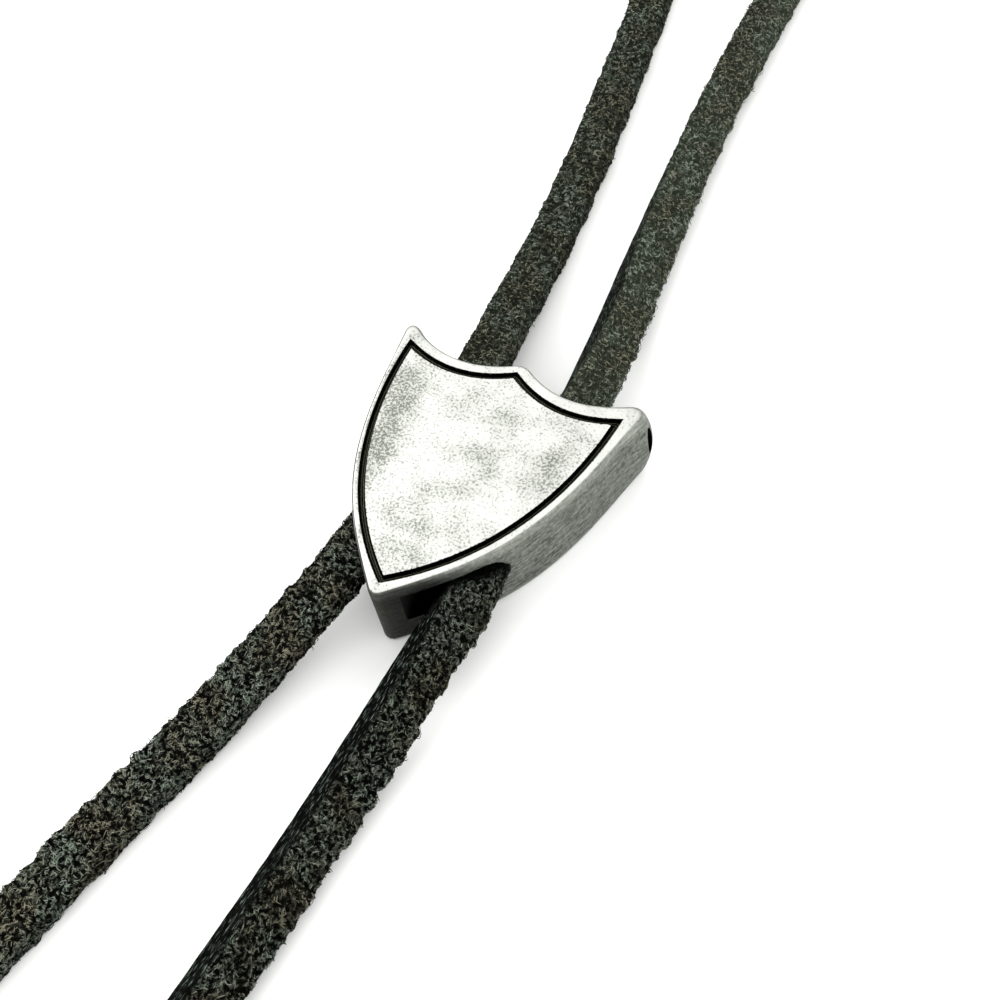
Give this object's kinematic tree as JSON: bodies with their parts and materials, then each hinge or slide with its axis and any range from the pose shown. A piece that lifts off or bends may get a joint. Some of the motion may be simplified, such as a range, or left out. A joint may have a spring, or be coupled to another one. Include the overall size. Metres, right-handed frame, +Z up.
{
  "type": "leather pendant necklace",
  "caption": "Flat suede leather lace necklace, doubled, with both ends passed through a cast metal shield-shaped slide pendant.",
  "frame": {"origin": "centre of the whole necklace's footprint, on the surface it lies on", "axes": "+Y from the shield's point towards its top edge and on up to the neck loop, +Z up out of the shield's engraved face, +X to the right of a viewer who faces the shield"},
  "size_m": [0.1204, 0.3062, 0.0078],
  "materials": {
    "antique_silver": "cast and antiqued: satin face with grey patina, polished rim, brushed side walls, black oxide in the engraved line",
    "suede_leather": "black split leather with a short lighter nap; one cut edge smooth and faintly glossy"
  },
  "bodies": {
    "root": {"shield_slide": "antique_silver", "leather_lace": "suede_leather"}
  },
  "joints": []
}
